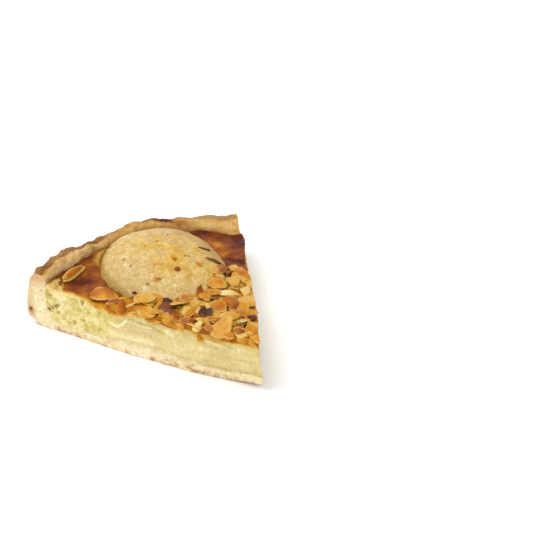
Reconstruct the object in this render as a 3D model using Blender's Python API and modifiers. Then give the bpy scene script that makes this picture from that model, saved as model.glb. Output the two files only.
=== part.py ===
"""A slice of pear frangipane tart: a pastry case, almond filling, two pear halves and flaked almonds.

The tart is modelled round its own axis, as it was baked, and two knife cuts then leave one slice. The
slice's tip is the tart's axis, and its crust lies towards +Y. The empty "slice" moves the tart's axis to
TIP, so that the origin is under the middle of the slice, on the surface it stands on.

Angles are measured from +Y, positive towards +X. Lengths are in metres.
"""

import math
import random

import bmesh
import bpy
from mathutils import Matrix, Vector, noise

MM = 0.001

# The tart
TART_RADIUS = 131.3 * MM
SLICE_ANGLE = math.radians(57.4)
HALF_ANGLE = SLICE_ANGLE / 2
TIP = Vector((0.17 * MM, -66.77 * MM, 0))
TIP_BLUNTNESS = 0.6 * MM
TIP_CURL = 2.4 * MM
GAP = 0.3 * MM

# The pastry case
BASE_THICKNESS = 4.8 * MM
WALL_THICKNESS = 9.0 * MM
RIM_HEIGHT = 28 * MM
FILLET = 10 * MM
# The outside of the case below its rim, as distance from the axis and height in mm: its foot spreads.
FOOT = ((125.5, 0), (127.8, 1.5), (130.9, 3.2), (133.4, 4.2), (134.4, 7.4), (134.2, 12.0), (133.6, 16.0), (132.5, 20.0))
FOOT_EVEN_OUT = 0.55
RIM_WAVE = 0.5 * MM
# How high the hand-pinched rim stands, and how far its inside slumps inwards, in mm, at even steps of angle
# from the front cut to the other one.
RIM_HEIGHTS = (28.8, 31.6, 32.4, 32.2, 31.0, 29.6, 28.8, 29.6, 30.6, 31.0, 29.4, 27.4, 26.8, 26.2, 25.4, 26.2)
RIM_SLUMP = (0.5, 0.3, 0.4, 0.6, 0.0, -0.6, -0.8, -0.9, -0.9, -0.5, 0.4, 1.8, 3.0, 6.2, 9.6, 10.0)
RIM_SPREAD = math.radians(30)

# The filling
FILLING_HEIGHT = 23.0 * MM
FILLING_CLIMB = 2.6 * MM
SWEEP_HALF_ANGLE = math.radians(36)
SWEEP_STEPS = 30

# The pear half that stands out of the filling, its wide end at the crust
PEAR_RADIUS = 33 * MM
PEAR_LENGTH = 89 * MM
PEAR_TAPER = 2.0
PEAR_TOP = 36.3 * MM
PEAR_FLOOR = 12 * MM
PEAR_BULB_AT = (93.4 * MM, math.radians(1.9))
PEAR_TURN = math.radians(-5)
PEAR_FULLNESS = 2.4
PEAR_DROOP = 0.45
PEAR_LEAN = (-0.16, 0.12)

# The pear half that the front cut runs through
CUT_PEAR_RADIUS = 21 * MM
CUT_PEAR_LENGTH = 87 * MM
CUT_PEAR_TAPER = 4.0
CUT_PEAR_TOP = 22.5 * MM
CUT_PEAR_FLOOR = 6.3 * MM
CUT_PEAR_BULB_END = 88 * MM
CUT_PEAR_OUTSIDE = 13 * MM
CUT_PEAR_FULLNESS = 2.3

# Flaked almonds
FLAKE_LENGTH = 16 * MM
FLAKE_WIDTH = 10.5 * MM
FLAKE_THICKNESS = 1.0 * MM
FLAKE_SIDES = 10
BED_THICKNESS = 1.9 * MM
BED_FLAKES = 34
BED_SPACING = 6.3 * MM
SEED = 7


def smooth(low, high, value):
    """0 below low, 1 above high, and an easy curve between."""
    share = min(max((value - low) / (high - low), 0), 1)
    return share * share * (3 - 2 * share)


def lumps(x, y, z, size, seed=0):
    """Smooth noise from about -1 to 1, whose lumps are about size across."""
    return 1.6 * noise.noise(Vector((x / size + seed * 17.3, y / size - seed * 9.1, z / size)))


def at(radius, angle, z=0.0):
    """The point of the tart at that distance and direction from its axis."""
    return Vector((radius * math.sin(angle), radius * math.cos(angle), z))


def polar(point):
    return math.hypot(point[0], point[1]), math.atan2(point[0], point[1])


# Shape of the tart


def along_rim(values, angle):
    """The value at an angle, from values at even steps between the cuts, eased from one to the next."""
    place = (angle + RIM_SPREAD) / (2 * RIM_SPREAD) * (len(values) - 1)
    place = min(max(place, 0), len(values) - 1.001)
    step = int(place)
    return values[step] + (values[step + 1] - values[step]) * smooth(0, 1, place - step)


def rim_lift(angle):
    """How much higher than RIM_HEIGHT the rim stands, with the small crimps left by fingers."""
    crimps = 0.6 * math.sin(29 * angle + 1.0) + 0.4 * math.sin(53 * angle + 0.3)
    return along_rim(RIM_HEIGHTS, angle) * MM - RIM_HEIGHT + RIM_WAVE * crimps


def pushed(radius, angle, z):
    """The wall's top leans in where it has slumped. Its outside and what is under the fillet stay."""
    inner = TART_RADIUS - WALL_THICKNESS
    reach = smooth(inner - 2 * FILLET, inner, radius) * (1 - smooth(inner + 0.5 * MM, TART_RADIUS, radius))
    high = smooth(BASE_THICKNESS + FILLET - 1 * MM, FILLING_HEIGHT, z)
    return radius - along_rim(RIM_SLUMP, angle) * MM * reach * high


def tip_curl(radius):
    """How far the base has lifted off the plate near the tip."""
    return TIP_CURL * smooth(22 * MM, 0, radius)


def filling_height(x, y):
    """Height of the filling's baked top over a point of the tart."""
    radius, angle = polar((x, y))
    inner = TART_RADIUS - WALL_THICKNESS
    hollow = math.hypot(*(Vector((x, y)) - at(106 * MM, math.radians(-20)).xy)) / (11 * MM)
    saddle = math.hypot(*(Vector((x, y)) - at(91 * MM, math.radians(-28)).xy)) / (9 * MM)
    climb = FILLING_CLIMB * (1 - smooth(math.radians(5), math.radians(16), angle))
    height = FILLING_HEIGHT + climb * smooth(inner - 12 * MM, inner, radius)
    height += 1.2 * MM * smooth(30 * MM, 6 * MM, radius) if radius < 30 * MM else 0
    height -= 1.0 * MM * math.exp(-hollow * hollow) + 1.2 * MM * math.exp(-saddle * saddle)
    height -= 1.2 * MM * smooth(math.radians(18), math.radians(25), angle) * smooth(98 * MM, 110 * MM, radius)
    return height + 0.55 * MM * lumps(x, y, 0, 13 * MM, 1) + 0.35 * MM * lumps(x, y, 0, 5 * MM, 2)


def bed_edge(angle):
    """How far from the axis the bed of almonds reaches in that direction."""
    along_front = 28 * MM * smooth(math.radians(-8), math.radians(-25), angle) if angle < 0 else 0
    return 56 * MM + along_front + 8 * MM * smooth(math.radians(2), math.radians(24), angle)


# Blender helpers


def clear_scene():
    for old in list(bpy.data.objects):
        bpy.data.objects.remove(old, do_unlink=True)


def material(name, colour, roughness):
    made = bpy.data.materials.new(name)
    made.use_nodes = True
    shader = made.node_tree.nodes["Principled BSDF"]
    shader.inputs["Base Color"].default_value = (*colour, 1)
    shader.inputs["Roughness"].default_value = roughness
    shader.inputs["Metallic"].default_value = 0
    return made


def new_collection(name):
    made = bpy.data.collections.new(name)
    bpy.context.scene.collection.children.link(made)
    return made


def add_object(name, bm, collection, parent, finish=None):
    """Puts a finished bmesh into the scene as an object of the tart."""
    bmesh.ops.triangulate(bm, faces=bm.faces[:])
    bmesh.ops.recalc_face_normals(bm, faces=bm.faces[:])
    mesh = bpy.data.meshes.new(name)
    bm.to_mesh(mesh)
    bm.free()
    obj = bpy.data.objects.new(name, mesh)
    collection.objects.link(obj)
    obj.parent = parent
    if finish:
        mesh.materials.append(finish)
        mesh.shade_smooth()
        mesh.set_sharp_from_angle(angle=math.radians(40))
    else:
        obj.hide_render = True
        obj.display_type = "WIRE"
    return obj


def add_boolean(obj, cutter, operation="DIFFERENCE"):
    modifier = obj.modifiers.new(f"{operation} {cutter.name}", "BOOLEAN")
    modifier.operation = operation
    modifier.object = cutter
    return modifier


def apply_modifiers(obj):
    """Bakes the object's modifiers into its mesh."""
    graph = bpy.context.evaluated_depsgraph_get()
    baked = bpy.data.meshes.new_from_object(obj.evaluated_get(graph))
    obj.modifiers.clear()
    obj.data = baked


def keep_largest_shell(obj):
    """Leaves the object's largest shell, so that crumbs that a cut left and closed pockets are gone."""
    bm = bmesh.new()
    bm.from_mesh(obj.data)
    waiting = set(bm.verts)
    shells = []
    while waiting:
        shell = set()
        edge_of_shell = [waiting.pop()]
        while edge_of_shell:
            vert = edge_of_shell.pop()
            shell.add(vert)
            for edge in vert.link_edges:
                other = edge.other_vert(vert)
                if other in waiting:
                    waiting.remove(other)
                    edge_of_shell.append(other)
        shells.append(shell)
    shells.sort(key=len)
    loose = [vert for shell in shells[:-1] for vert in shell]
    bmesh.ops.delete(bm, geom=loose, context="VERTS")
    bm.to_mesh(obj.data)
    bm.free()


def swept(profile):
    """A bmesh solid: the closed profile of (radius, height) points turned about the tart's axis."""
    bm = bmesh.new()
    corners = [bm.verts.new(at(radius, -SWEEP_HALF_ANGLE, z)) for radius, z in profile]
    section = bm.faces.new(corners)
    bmesh.ops.spin(
        bm,
        geom=[section, *section.edges, *section.verts],
        cent=(0, 0, 0),
        axis=(0, 0, -1),
        angle=2 * SWEEP_HALF_ANGLE,
        steps=SWEEP_STEPS,
    )
    bmesh.ops.remove_doubles(bm, verts=bm.verts[:], dist=0.01 * MM)
    bmesh.ops.dissolve_degenerate(bm, edges=bm.edges[:], dist=0.01 * MM)
    return bm


def arc(centre, radii, start, end, steps):
    """Points of an elliptical arc in the (radius, height) plane, angles in degrees."""
    turns = [math.radians(start + (end - start) * i / steps) for i in range(steps + 1)]
    return [(centre[0] + radii[0] * math.cos(t), centre[1] + radii[1] * math.sin(t)) for t in turns]


# The pastry case and the filling


def inner_wall(offset):
    """The case's inside from its rim down to the base, moved inwards by offset."""
    inner = TART_RADIUS - WALL_THICKNESS
    low = BASE_THICKNESS + FILLET
    corner = arc((inner - FILLET, low), (FILLET - offset, FILLET - offset), 0, -90, 5)
    return [(inner + 0.4 * MM - offset, 21 * MM), *corner]


def crust_profile(grow):
    """The outline of the case; grow moves its inside inwards, for the room that the filling leaves it."""
    bottom = [(share * TART_RADIUS, 0) for share in (0, 0.05, 0.12, 0.25, 0.5, 0.75, 0.9)]
    foot = [(radius * MM, z * MM) for radius, z in FOOT]
    half_wall = (WALL_THICKNESS + grow) / 2
    rim = arc((TART_RADIUS - half_wall, RIM_HEIGHT - 4 * MM), (half_wall, 4 * MM + grow), 0, 165, 7)
    base = [(share * TART_RADIUS, BASE_THICKNESS + grow) for share in (0.6, 0.45, 0.3, 0.12, 0.05, 0)]
    return [*bottom, *foot, *rim, *inner_wall(grow), *base]


def make_case(name, collection, parent, grow=0.0, finish=None):
    """The pastry case before it is cut."""
    bm = swept(crust_profile(grow))
    inner = TART_RADIUS - WALL_THICKNESS
    for vert in bm.verts:
        radius, angle = polar(vert.co)
        z = vert.co.z
        outside = smooth(inner + 1 * MM, inner + 5 * MM, radius) * smooth(0, 6 * MM, z)
        radius = pushed(radius, angle, z)
        if radius > TART_RADIUS:
            even = FOOT_EVEN_OUT * smooth(math.radians(-22), math.radians(-8), angle)
            radius -= even * (radius - TART_RADIUS)
        radius += 0.8 * MM * outside * lumps(*vert.co, 9 * MM, 3)
        top = smooth(15 * MM, 26 * MM, z)
        z += top * rim_lift(angle) + 0.7 * MM * top * outside * lumps(*vert.co, 6 * MM, 4)
        vert.co = at(radius, angle, z + tip_curl(radius))
    return add_object(name, bm, collection, parent, finish)


def make_crust(collection, parent, cutters):
    crust = make_case("crust", collection, parent, 0, material("baked pastry", (0.62, 0.42, 0.22), 0.75))
    for side in (-1, 1):
        add_boolean(crust, make_knife(f"pastry cut {side}", side, pastry_relief, cutters, parent))
    return crust


def filling_profile():
    """The outline of the filling, which reaches into the case and is then cut back to the room in it."""
    outer = TART_RADIUS - WALL_THICKNESS + 1 * MM
    spacing = 3.6 * MM
    rows = int(outer / spacing)
    top = [(outer * (1 - row / rows), FILLING_HEIGHT) for row in range(rows + 1)]
    return [(0, 2 * MM), (outer, 2 * MM), *top]


def make_filling_body(name, collection, parent, lift=0.0, finish=None):
    """The filling before it is cut; lift raises its top, for the room that the almonds leave it."""
    bm = swept(filling_profile())
    for vert in bm.verts:
        radius, angle = polar(vert.co)
        z = vert.co.z
        if z > FILLING_HEIGHT - 0.1 * MM:
            z = filling_height(vert.co.x, vert.co.y) + lift
        vert.co = at(pushed(radius, angle, z), angle, z)
    return add_object(name, bm, collection, parent, finish)


def make_frangipane(collection, parent, cutters, rooms):
    """The almond filling, with the loose flakes fused to its top.

    rooms are cut out of it, for the case and the pears.
    """
    finish = material("almond filling", (0.78, 0.63, 0.30), 0.6)
    filling = make_filling_body("frangipane", collection, parent, 0, finish)
    flakes = new_collection("loose flakes")
    for number, (radius, angle, turn, tilt, lean, size) in enumerate(LOOSE_FLAKES):
        centre = at(radius * MM, math.radians(angle))
        centre.z = filling_height(centre.x, centre.y) + 0.6 * MM
        make_flake(f"loose flake {number}", centre, turn, tilt, lean, size, flakes, parent)
    fuse(filling, flakes)
    for side in (-1, 1):
        relief = swollen_relief if side == 1 else crumb_relief
        add_boolean(filling, make_knife(f"filling cut {side}", side, relief, cutters, parent))
    for room in rooms:
        add_boolean(filling, room)
    apply_modifiers(filling)
    keep_largest_shell(filling)


# The knife cuts


def spread(along, z):
    """How far the foot of the front cut has spread, most about halfway along."""
    hump = smooth(6 * MM, 45 * MM, along) * (1 - smooth(72 * MM, 118 * MM, along))
    return 2.4 * MM * hump * (1 - smooth(3 * MM, 19 * MM, z))


def sunk_tip(along, z):
    """How far the top of the tip has sunk back from the other cut."""
    return 1.6 * MM * smooth(6 * MM, 21 * MM, z) * (1 - smooth(5 * MM, 26 * MM, along))


def pastry_relief(along, z):
    """Short, flaky tears along the cut edge of the case."""
    return 0.35 * MM * lumps(along, 0, z, 4 * MM, 5) + 0.3 * MM * lumps(along, 0, 3 * z, 7 * MM, 6)


def crumb_relief(along, z):
    """The open crumb of the filling, coarsest near the crust."""
    coarse = 0.35 + 0.65 * smooth(70 * MM, 100 * MM, along)
    return coarse * MM * (0.5 * lumps(along, 0, z, 5 * MM, 7) + 0.35 * lumps(along, 0, z, 2.7 * MM, 8))


def swollen_relief(along, z):
    """The same crumb, where the filling's dark end by the crust hangs over the cut."""
    swell = math.exp(-(((along - 101 * MM) / (11 * MM)) ** 2)) * smooth(12 * MM, 23 * MM, z)
    return crumb_relief(along, z) + 2.3 * MM * swell


def pear_relief(along, z):
    """A clean cut through soft fruit, with long shallow streaks."""
    return 0.25 * MM * lumps(along, 0, 5 * z, 18 * MM, 9)


def make_knife(name, side, relief, cutters, parent):
    """A thick slab that removes what lies outside one cut; side is -1 for the front cut, 1 for the other."""
    length = 165 * MM
    height = 54 * MM
    columns, rows = 44, 13
    bm = bmesh.new()
    bmesh.ops.create_grid(bm, x_segments=columns, y_segments=rows, size=0.5)
    along = at(1, side * HALF_ANGLE)
    outward = Vector((side * along.y, -side * along.x, 0))
    for vert in bm.verts:
        distance = (vert.co.x + 0.5) * length - 18 * MM
        z = (vert.co.y + 0.5) * height - 8 * MM
        depth = relief(distance, z + side * 0.2)
        depth += spread(distance, z) if side == -1 else -sunk_tip(distance, z)
        vert.co = Vector((0, TIP_BLUNTNESS, z)) + along * distance + outward * depth
    bmesh.ops.recalc_face_normals(bm, faces=bm.faces[:])
    if bm.faces[:][0].normal.dot(outward) < 0:
        bmesh.ops.reverse_faces(bm, faces=bm.faces[:])
    shell = bmesh.ops.extrude_face_region(bm, geom=bm.faces[:], use_keep_orig=True)
    moved = [part for part in shell["geom"] if isinstance(part, bmesh.types.BMVert)]
    bmesh.ops.translate(bm, verts=moved, vec=outward * 90 * MM)
    return add_object(name, bm, cutters, parent)


# The pears


def pear_radius(distance, length, radius, taper):
    """Half the width of a pear at that distance from its wide end. A taper of 2 makes it an egg."""
    if distance < radius:
        return math.sqrt(max(radius**2 - (radius - distance) ** 2, 0))
    share = min((distance - radius) / (length - radius), 1)
    return radius * (1 - share**taper) ** (1 / taper)


def pear_half(name, length, radius, taper, floor, top, fullness, droop, lean, grow, collection):
    """A peeled pear half, flat side down at floor, its widest part over the origin, its neck to -Y.

    A fullness of 2 gives it an elliptical section, and more gives it steeper sides. droop lowers its neck by
    that share, lean shifts its top, and grow makes it bigger all round, for the hollow that it lies in.
    """
    steps = 22
    outline = bpy.data.meshes.new(name)
    spacing = [0.5 - 0.5 * math.cos(math.pi * i / steps) for i in range(steps + 1)]
    profile = [(pear_radius(s * length, length, radius, taper), 0, radius - s * length) for s in spacing]
    outline.from_pydata(profile, [(i, i + 1) for i in range(steps)], [])
    turned = bpy.data.objects.new(name, outline)
    collection.objects.link(turned)
    screw = turned.modifiers.new("turned", "SCREW")
    screw.axis = "Z"
    screw.steps = screw.render_steps = 36
    screw.use_merge_vertices = True
    screw.merge_threshold = 0.0001
    apply_modifiers(turned)
    bm = bmesh.new()
    bm.from_mesh(turned.data)
    bpy.data.objects.remove(turned)
    bmesh.ops.rotate(bm, verts=bm.verts[:], matrix=Matrix.Rotation(-math.pi / 2, 3, "X"))
    whole = [*bm.verts, *bm.edges, *bm.faces]
    bmesh.ops.bisect_plane(bm, geom=whole, plane_co=(0, 0, 0), plane_no=(0, 0, 1), clear_inner=True)
    bmesh.ops.remove_doubles(bm, verts=bm.verts[:], dist=0.02 * MM)
    bmesh.ops.dissolve_degenerate(bm, edges=bm.edges[:], dist=0.02 * MM)
    bmesh.ops.holes_fill(bm, edges=[edge for edge in bm.edges if edge.is_boundary])
    for vert in bm.verts:
        x, y, z = vert.co
        width = pear_radius(min(max(radius - y, 0), length), length, radius, taper)
        if z > 0.01 * MM and width > 0:
            across = min(abs(x) / width, 1)
            z = (top - floor) * (width / radius) ** (2 / fullness - 0.15) * (1 - across**fullness) ** (1 / fullness)
            z *= 1 - droop * smooth(0, length - radius, -y)
        dents = 1 + 0.03 * lumps(x, y, z, 22 * MM, 11) * smooth(0, 5 * MM, z)
        vert.co = Vector((x * dents + lean[0] * z, y + lean[1] * z, z * dents + floor))
    bm.normal_update()
    moves = [vert.normal * grow * vert.calc_shell_factor() for vert in bm.verts]
    for vert, move in zip(bm.verts, moves):
        vert.co += move
    return bm


def make_pear_half(name, collection, parent, grow=0.0, finish=None):
    bm = pear_half(
        name,
        PEAR_LENGTH,
        PEAR_RADIUS,
        PEAR_TAPER,
        PEAR_FLOOR,
        PEAR_TOP,
        PEAR_FULLNESS,
        PEAR_DROOP,
        PEAR_LEAN,
        grow,
        collection,
    )
    bmesh.ops.rotate(bm, verts=bm.verts[:], matrix=Matrix.Rotation(PEAR_TURN, 3, "Z"))
    bmesh.ops.translate(bm, verts=bm.verts[:], vec=at(*PEAR_BULB_AT))
    return add_object(name, bm, collection, parent, finish)


def make_cut_pear(name, collection, parent, grow=0.0, finish=None):
    """Its core line lies outside the slice, so that the front cut leaves the side of the half."""
    bm = pear_half(
        name,
        CUT_PEAR_LENGTH,
        CUT_PEAR_RADIUS,
        CUT_PEAR_TAPER,
        CUT_PEAR_FLOOR,
        CUT_PEAR_TOP,
        CUT_PEAR_FULLNESS,
        0,
        (0, 0),
        grow,
        collection,
    )
    along = at(1, -HALF_ANGLE)
    outward = Vector((-along.y, along.x, 0))
    bmesh.ops.rotate(bm, verts=bm.verts[:], matrix=Matrix.Rotation(HALF_ANGLE, 3, "Z"))
    centre = along * (CUT_PEAR_BULB_END - CUT_PEAR_RADIUS) + outward * CUT_PEAR_OUTSIDE
    bmesh.ops.translate(bm, verts=bm.verts[:], vec=centre)
    for vert in bm.verts:
        vert.co.z += tip_curl(polar(vert.co)[0])
    return add_object(name, bm, collection, parent, finish)


# The almonds

# Flakes that lie apart on the filling: distance from the axis in mm, direction, turn, tilt and lean in
# degrees, and size as a share of a whole flake.
LOOSE_FLAKES = (
    (114.0, -20.5, 22, 4, -24, 1.05),
    (94.0, -23.2, -36, 4, 6, 0.95),
)


def make_flake(name, centre, turn, tilt, lean, size, collection, parent):
    """One thin slice of almond, pointed at one end and slightly bent.

    turn is about the vertical, tilt lowers its point, and lean rolls it about its length, in degrees.
    """
    bm = bmesh.new()
    bmesh.ops.create_cone(
        bm, cap_ends=True, cap_tris=True, segments=FLAKE_SIDES, radius1=1, radius2=1, depth=1
    )
    for vert in bm.verts:
        x, y, z = vert.co
        width = 0.5 * FLAKE_WIDTH * (1 - 0.3 * x)
        bend = 1.1 * MM * (x * x + 0.5 * y * y)
        flat = Vector((0.5 * FLAKE_LENGTH * x, width * y, bend)) * size
        vert.co = flat + Vector((0, 0, z * FLAKE_THICKNESS))
    turned = Matrix.Rotation(math.radians(turn), 3, "Z")
    turned = turned @ Matrix.Rotation(math.radians(tilt), 3, "Y")
    turned = turned @ Matrix.Rotation(math.radians(lean), 3, "X")
    bmesh.ops.rotate(bm, verts=bm.verts[:], matrix=turned)
    bmesh.ops.translate(bm, verts=bm.verts[:], vec=centre)
    return add_object(name, bm, collection, parent)


def fuse(obj, pieces):
    """Joins a collection's pieces to an object as one body, and removes the pieces."""
    modifier = obj.modifiers.new("fused", "BOOLEAN")
    modifier.operation = "UNION"
    modifier.operand_type = "COLLECTION"
    modifier.collection = pieces
    modifier.solver = "MANIFOLD"
    apply_modifiers(obj)
    keep_largest_shell(obj)
    for piece in list(pieces.objects):
        bpy.data.objects.remove(piece)
    bpy.data.collections.remove(pieces)


def bed_flakes():
    """Where the bed's flakes lie: point, turn, tilt, lean and size of each, spread by a seeded rule."""
    chance = random.Random(SEED)
    placed = []
    tries = 0
    while len(placed) < BED_FLAKES and tries < 4000:
        tries += 1
        angle = chance.uniform(-HALF_ANGLE, HALF_ANGLE)
        radius = 90 * MM * math.sqrt(chance.random())
        turn, tilt, lean = chance.uniform(0, 180), chance.uniform(-20, 20), chance.uniform(-16, 16)
        size = chance.uniform(0.7, 1.05)
        centre = at(radius, angle)
        to_cut = radius * math.sin(HALF_ANGLE - abs(angle))
        if to_cut < 4.2 * MM or not 15 * MM < radius < bed_edge(angle) - 7 * MM:
            continue
        if any((centre - other).xy.length < BED_SPACING for other, *_ in placed):
            continue
        centre.z = filling_height(centre.x, centre.y) + BED_THICKNESS + 0.4 * MM
        placed.append((centre, turn, tilt, lean, size))
    return placed


def make_almond_bed(collection, parent, cutters, rooms):
    """The heap of flaked almonds round the tip: a baked-together layer with its flakes fused on.

    rooms are cut out of it, for the pear beside it and the filling under it.
    """
    bm = bmesh.new()
    rows, columns = 14, 16
    bmesh.ops.create_grid(bm, x_segments=columns, y_segments=rows, size=0.5)
    for vert in bm.verts:
        angle = vert.co.x * 2 * (HALF_ANGLE + math.radians(6))
        radius = 3 * MM + (vert.co.y + 0.5) * (bed_edge(angle) - 3 * MM)
        place = at(radius, angle)
        place.y += 2 * MM * (vert.co.y + 0.5)
        vert.co = Vector((place.x, place.y, filling_height(place.x, place.y) - 1 * MM))
    lifted = bmesh.ops.extrude_face_region(bm, geom=bm.faces[:], use_keep_orig=True)
    for vert in lifted["geom"]:
        if isinstance(vert, bmesh.types.BMVert):
            vert.co.z += 1 * MM + BED_THICKNESS + 0.4 * MM * lumps(*vert.co, 6 * MM, 12)
    finish = material("toasted almond", (0.62, 0.34, 0.08), 0.45)
    bed = add_object("almond_bed", bm, collection, parent, finish)
    for side in (-1, 1):
        add_boolean(bed, make_knife(f"bed cut {side}", side, crumb_relief, cutters, parent))
    apply_modifiers(bed)
    flakes = new_collection("bed flakes")
    for number, (centre, turn, tilt, lean, size) in enumerate(bed_flakes()):
        make_flake(f"bed flake {number}", centre, turn, tilt, lean, size, flakes, parent)
    fuse(bed, flakes)
    for room in rooms:
        add_boolean(bed, room)
    apply_modifiers(bed)
    keep_largest_shell(bed)


def main():
    clear_scene()
    parts = new_collection("pear_frangipane_tart_slice")
    cutters = new_collection("cutters")
    whole = bpy.data.objects.new("slice", None)
    parts.objects.link(whole)
    bpy.context.view_layer.update()

    flesh = material("baked pear", (0.76, 0.55, 0.22), 0.35)
    cut_flesh = material("cut pear", (0.80, 0.64, 0.31), 0.4)
    case_room = make_case("room for the case", cutters, whole, GAP)
    pear_room = make_pear_half("room for the pear", cutters, whole, GAP)
    cut_pear_room = make_cut_pear("room for the cut pear", cutters, whole, GAP)
    filling_room = make_filling_body("room under the almonds", cutters, whole, GAP)

    make_crust(parts, whole, cutters)
    make_frangipane(parts, whole, cutters, (pear_room, cut_pear_room, case_room))
    pear = make_pear_half("pear_half", parts, whole, 0, flesh)
    add_boolean(pear, case_room)
    cut_pear = make_cut_pear("pear_cut", parts, whole, 0, cut_flesh)
    add_boolean(cut_pear, make_knife("pear cut", -1, pear_relief, cutters, whole))
    add_boolean(cut_pear, pear_room)
    make_almond_bed(parts, whole, cutters, (pear_room, filling_room))
    whole.location = TIP


main()
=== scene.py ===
"""Looks of a slice of pear frangipane tart, on a white ground in soft light.

The slice's tip lies at TIP, and its crust towards +Y. Angles are measured at the tip from +Y, positive
towards +X. A place on a cut is given as the distance along it from the tip, and the height. Sizes in the
helpers and tables are in millimetres, and in Blender they are metres. Colours are given as they look on a
screen, from 0 to 255.
"""

import math
import random

import bmesh
import bpy
import numpy as np
from mathutils import Euler, Matrix, Vector, noise
from mathutils.bvhtree import BVHTree


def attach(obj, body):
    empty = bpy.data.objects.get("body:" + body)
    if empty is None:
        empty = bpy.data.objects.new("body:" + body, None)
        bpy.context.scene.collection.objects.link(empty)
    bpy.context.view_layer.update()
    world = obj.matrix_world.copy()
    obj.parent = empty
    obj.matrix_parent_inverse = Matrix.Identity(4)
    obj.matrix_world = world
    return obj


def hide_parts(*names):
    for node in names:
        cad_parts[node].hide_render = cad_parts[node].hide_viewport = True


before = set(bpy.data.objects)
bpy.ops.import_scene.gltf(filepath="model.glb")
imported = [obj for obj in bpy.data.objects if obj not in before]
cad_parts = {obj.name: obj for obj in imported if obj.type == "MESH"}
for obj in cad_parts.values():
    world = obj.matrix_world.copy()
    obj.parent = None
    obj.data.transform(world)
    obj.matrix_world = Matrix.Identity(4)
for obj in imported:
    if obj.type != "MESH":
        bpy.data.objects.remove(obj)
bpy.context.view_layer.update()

MM = 0.001
TIP = np.array([0.17, -66.77])
# Where the planes of the two cuts meet, just inside the tip
CUTS_MEET = TIP + np.array([0.0, 0.6])
FRONT, BACK = -1, 1
HALF_DEGREES = 28.7
HALF_ANGLE = math.radians(HALF_DEGREES)
TART_RADIUS = 131.3
INNER_RADIUS = 122.3
RIM_WIDTH = TART_RADIUS - INNER_RADIUS
FILLING_HEIGHT = 23.0
# The round between the inside of the case's wall and its base, and the height at which it ends
FOOT_RADIUS = 10
FOOT_TOP = 14.8
# How far the inside of the rim leans inwards, every SLUMP_STEP degrees from SLUMP_FROM
RIM_SLUMP = (0.5, 0.3, 0.4, 0.6, 0.0, -0.6, -0.8, -0.9, -0.9, -0.5, 0.4, 1.8, 3.0, 6.2, 9.6, 10.0)
SLUMP_FROM, SLUMP_STEP = -30, 4
SEED = 11

# The camera of the photo: the point it looks at, the direction it looks from, how far off it is, and its
# focal length in pixels of a photo as wide and high as PHOTO_SIZE
AIM = np.array([66.48, 22.88, 0.0])
AZIMUTH, ELEVATION = math.radians(-34.75), math.radians(31.2)
CAMERA_DISTANCE = 1000.0
FOCAL_LENGTH = 1873
PHOTO_SIZE = 540

# How much brighter the light makes a surface than its own colour: the cuts, and what faces up, which also
# mirrors some of the room
EXPOSURE = 1.12
TOP_EXPOSURE = 1.27
TOP_GLOSS = 0.03


# Numbers


def ease(low, high, value):
    """0 below low, 1 above high, and an easy curve between, for arrays."""
    share = np.clip((np.asarray(value, float) - low) / (high - low), 0, 1)
    return share * share * (3 - 2 * share)


def bell(value, middle, width):
    return np.exp(-(((value - middle) / width) ** 2))


def blob(points, x, y, size_x, size_y=None, turn=0.0):
    """A soft spot of height 1 round (x, y), turned by degrees."""
    c, s = math.cos(math.radians(turn)), math.sin(math.radians(turn))
    dx, dy = points[:, 0] - x, points[:, 1] - y
    return bell(dx * c + dy * s, 0, size_x) * bell(dy * c - dx * s, 0, size_y or size_x)


def blobs(points, *spots):
    """The strongest of several soft spots, each given as for blob."""
    return strongest(*(blob(points, *spot) for spot in spots))


def strongest(*shares):
    return np.max(shares, axis=0)


def trail(points, width, *stops):
    """A soft line of height 1 through the stops."""
    nearest = np.full(len(points), 1e9)
    for a, b in zip(np.array(stops, float), np.array(stops[1:], float)):
        share = np.clip((points[:, :2] - a) @ (b - a) / ((b - a) @ (b - a)), 0, 1)
        gap = np.linalg.norm(points[:, :2] - a - share[:, None] * (b - a), axis=1)
        nearest = np.minimum(nearest, gap)
    return bell(nearest, 0, width)


def lattice(cell, seed):
    """A repeatable number from 0 to 1 for each cell of a lattice."""
    n = cell[..., 0] * 374761393 + cell[..., 1] * 668265263 + cell[..., 2] * 1440662683
    n = (n + seed * 974634777) & 0xFFFFFFFF
    n = ((n ^ (n >> 13)) * 1274126177) & 0xFFFFFFFF
    n = ((n ^ (n >> 16)) * 2246822519) & 0xFFFFFFFF
    return ((n ^ (n >> 15)) & 0xFFFFFF) / 0xFFFFFF


def wave(points, size, seed=0):
    """Smooth noise from about -1 to 1 at points in mm, whose lumps are about size across."""
    place = points / size
    cell = np.floor(place).astype(np.int64)
    f = place - cell
    f = f * f * f * (f * (f * 6 - 15) + 10)
    total = np.zeros(len(points))
    for corner in np.ndindex(2, 2, 2):
        corner = np.array(corner)
        weight = np.prod(np.where(corner == 1, f, 1 - f), axis=1)
        total += weight * lattice(cell + corner, seed)
    return 2 * total - 1


def waves(points, size, seed=0, octaves=3):
    """Noise with finer and weaker noise on it."""
    return sum(wave(points, size / 2**octave, seed + octave) / 2**octave for octave in range(octaves))


def cells(points, size, seed=0):
    """Distance from each point to the nearest of scattered seeds, in units of size."""
    place = points / size
    cell = np.floor(place).astype(np.int64)
    nearest = np.full(len(points), 9.0)
    for step in np.ndindex(3, 3, 3):
        other = cell + np.array(step) - 1
        spot = np.stack([lattice(other, seed + axis) for axis in range(3)], axis=1)
        nearest = np.minimum(nearest, np.linalg.norm(other + spot - place, axis=1))
    return nearest


# Places on the slice


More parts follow.
